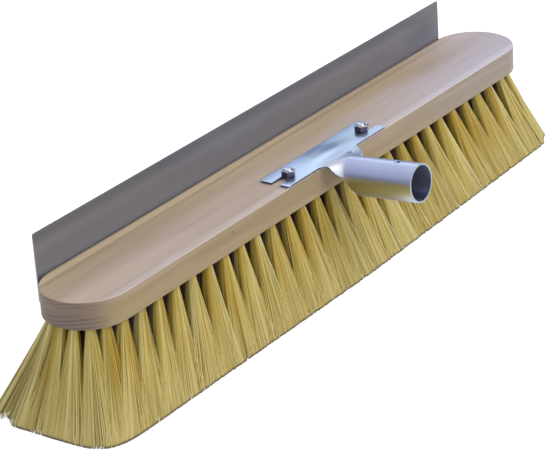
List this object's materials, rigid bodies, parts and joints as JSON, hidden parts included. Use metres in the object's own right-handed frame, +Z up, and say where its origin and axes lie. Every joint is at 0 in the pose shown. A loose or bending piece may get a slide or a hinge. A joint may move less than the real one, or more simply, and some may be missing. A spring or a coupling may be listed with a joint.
{
  "type": "push broom head",
  "caption": "Push broom head: wooden block with round ends and fibre tufts, steel scraper plate behind, bolted sheet-metal bracket with a round handle socket in front.",
  "frame": {"origin": "on the floor plane of the bristle tips, under the middle of the whole head's box", "axes": "+X along the block, -Y to the front where the handle socket opens, +Z up, bristles pointing down"},
  "size_m": [0.6598, 0.173, 0.1244],
  "materials": {
    "beech": "planed beech, unvarnished, satin",
    "plant_fibre": "natural plant fibre, yellow, dull",
    "grey_steel": "satin grey rolled steel",
    "zinc_plated_steel": "bright bluish zinc plating",
    "screw_steel": "bright zinc plating"
  },
  "bodies": {
    "root": {"wooden_block": "beech", "bristles_1": "plant_fibre", "bristles_2": "plant_fibre", "bristles_3": "plant_fibre", "bristles_4": "plant_fibre", "scraper_blade": "grey_steel", "blade_screw_1": "screw_steel", "blade_screw_2": "screw_steel", "blade_screw_3": "screw_steel", "blade_screw_4": "screw_steel", "blade_screw_5": "screw_steel", "blade_screw_6": "screw_steel", "blade_screw_7": "screw_steel", "socket_bracket": "zinc_plated_steel", "hanger_bolt_left": "zinc_plated_steel", "nut_left": "zinc_plated_steel", "hanger_bolt_right": "zinc_plated_steel", "nut_right": "zinc_plated_steel"}
  },
  "joints": []
}
